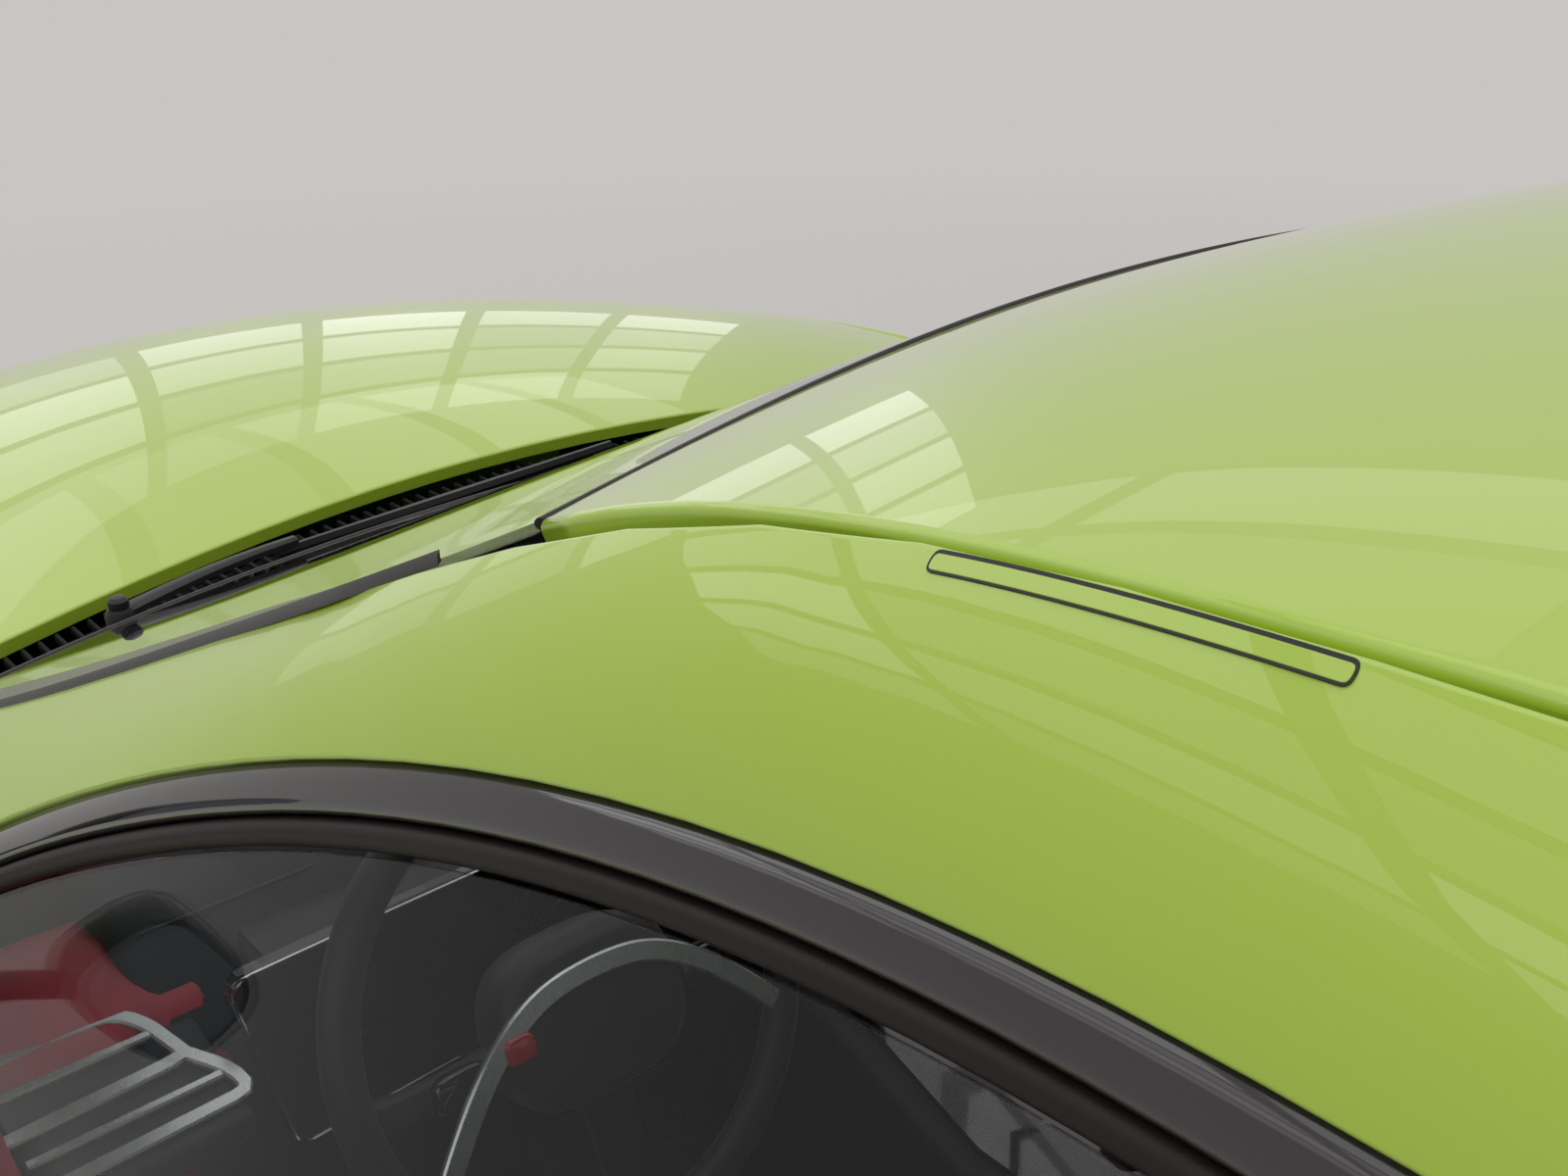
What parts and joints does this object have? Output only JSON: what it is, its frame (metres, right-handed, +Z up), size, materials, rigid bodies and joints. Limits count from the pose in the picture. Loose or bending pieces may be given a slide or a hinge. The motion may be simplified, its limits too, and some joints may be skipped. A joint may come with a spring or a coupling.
{
  "type": "two-door coupe car",
  "caption": "Low two-door coupe with frameless side windows, long hood, wide arches, opening doors, hood and boot lid, steered and rolling wheels.",
  "frame": {"origin": "middle of the car's length and width, on the ground under the tyres", "axes": "+X to the nose, +Y to the car's left, +Z up"},
  "size_m": [4.7935, 2.06, 1.399],
  "materials": {
    "body_paint": "gloss acid green",
    "bumper_paint": "gloss acid green on plastic",
    "mirror_housing": "gloss acid green",
    "side_glass": "dark tinted",
    "screen_glass": "lightly tinted",
    "gloss_black": "gloss black",
    "seal_rubber": "matt",
    "lamp_red": "red lens",
    "lamp_clear": "clear lens",
    "satin_black": "satin black",
    "arch_liner": "felt black",
    "underbody": "dark coating",
    "cast_metal": "cast",
    "exhaust_steel": "brushed",
    "axle_metal": "raw cast",
    "dash_soft": "soft black",
    "wheel_leather": "smooth black",
    "seat_leather": "black",
    "door_lining": "crimson",
    "tyre": "black",
    "rim_metal": "dark satin"
  },
  "bodies": {
    "body": {"bulkheads": "underbody", "centre_console": "dash_soft", "cowl_panel": "satin_black", "dashboard": "dash_soft", "engine_block": "cast_metal", "exhaust": "exhaust_steel", "floor_pan": "underbody", "front_bumper": "bumper_paint", "front_fenders": "body_paint", "front_seats": "seat_leather", "front_suspension": "axle_metal", "grille": "satin_black", "headlamps": "lamp_clear", "inner_mirror": "satin_black", "quarter_glass": "side_glass", "rack_covers": "body_paint", "rear_bench": "seat_leather", "rear_bumper": "bumper_paint", "rear_suspension": "axle_metal", "rear_window": "screen_glass", "roof_panel": "body_paint", "side_frame_left": "body_paint", "side_frame_right": "body_paint", "tail_lamps": "lamp_red", "tail_panel": "body_paint", "undertray": "satin_black", "wheel_arches": "arch_liner", "window_seals": "seal_rubber", "window_trim": "gloss_black", "windscreen": "screen_glass", "wipers": "satin_black"},
    "door_left": {"door_left_shell": "body_paint", "door_left_glass": "side_glass", "door_left_trim": "door_lining", "door_left_mirror": "mirror_housing"},
    "door_right": {"door_right_shell": "body_paint", "door_right_glass": "side_glass", "door_right_trim": "door_lining", "door_right_mirror": "mirror_housing"},
    "hood": {"hood": "body_paint"},
    "boot_lid": {"boot_lid": "body_paint"},
    "knuckle_left": {"knuckle_left": "axle_metal"},
    "knuckle_right": {"knuckle_right": "axle_metal"},
    "steering_wheel": {"steering_wheel": "wheel_leather"},
    "wheel_front_left": {"wheel_front_left_tyre": "tyre", "wheel_front_left_rim": "rim_metal"},
    "wheel_front_right": {"wheel_front_right_tyre": "tyre", "wheel_front_right_rim": "rim_metal"},
    "wheel_rear_left": {"wheel_rear_left_tyre": "tyre", "wheel_rear_left_rim": "rim_metal"},
    "wheel_rear_right": {"wheel_rear_right_tyre": "tyre", "wheel_rear_right_rim": "rim_metal"}
  },
  "joints": [
    {"name": "door_left_hinge", "type": "hinge", "parent": "body", "child": "door_left", "pos_m": [0.75, 0.894, 0.64], "axis": [0, 0, -1], "range_deg": [0, 65]},
    {"name": "door_right_hinge", "type": "hinge", "parent": "body", "child": "door_right", "pos_m": [0.75, -0.894, 0.64], "axis": [0, 0, 1], "range_deg": [0, 65]},
    {"name": "hood_hinge", "type": "hinge", "parent": "body", "child": "hood", "pos_m": [0.898, 0, 0.905], "axis": [0, -1, 0], "range_deg": [0, 50]},
    {"name": "boot_hinge", "type": "hinge", "parent": "body", "child": "boot_lid", "pos_m": [-1.5, 0, 1.06], "axis": [0, 1, 0], "range_deg": [0, 72]},
    {"name": "steer_left", "type": "hinge", "parent": "body", "child": "knuckle_left", "pos_m": [1.527, 0.722, 0.337], "axis": [0, 0, 1], "range_deg": [-33, 33]},
    {"name": "steer_right", "type": "hinge", "parent": "body", "child": "knuckle_right", "pos_m": [1.527, -0.722, 0.337], "axis": [0, 0, 1], "range_deg": [-33, 33]},
    {"name": "steering_wheel_turn", "type": "hinge", "parent": "body", "child": "steering_wheel", "pos_m": [0.43, 0.385, 0.8], "axis": [-0.9135, 0, 0.4067], "range_deg": [-462, 462]},
    {"name": "spin_front_left", "type": "hinge", "parent": "knuckle_left", "child": "wheel_front_left", "pos_m": [1.527, 0.792, 0.337], "axis": [0, 1, 0], "continuous": true},
    {"name": "spin_front_right", "type": "hinge", "parent": "knuckle_right", "child": "wheel_front_right", "pos_m": [1.527, -0.792, 0.337], "axis": [0, 1, 0], "continuous": true},
    {"name": "spin_rear_left", "type": "hinge", "parent": "body", "child": "wheel_rear_left", "pos_m": [-1.33, 0.79, 0.34], "axis": [0, 1, 0], "continuous": true},
    {"name": "spin_rear_right", "type": "hinge", "parent": "body", "child": "wheel_rear_right", "pos_m": [-1.33, -0.79, 0.34], "axis": [0, 1, 0], "continuous": true}
  ],
  "couplings": [
    {"joint": "steer_right", "follows": "steer_left", "ratio": 1},
    {"joint": "steering_wheel_turn", "follows": "steer_left", "ratio": 14}
  ]
}
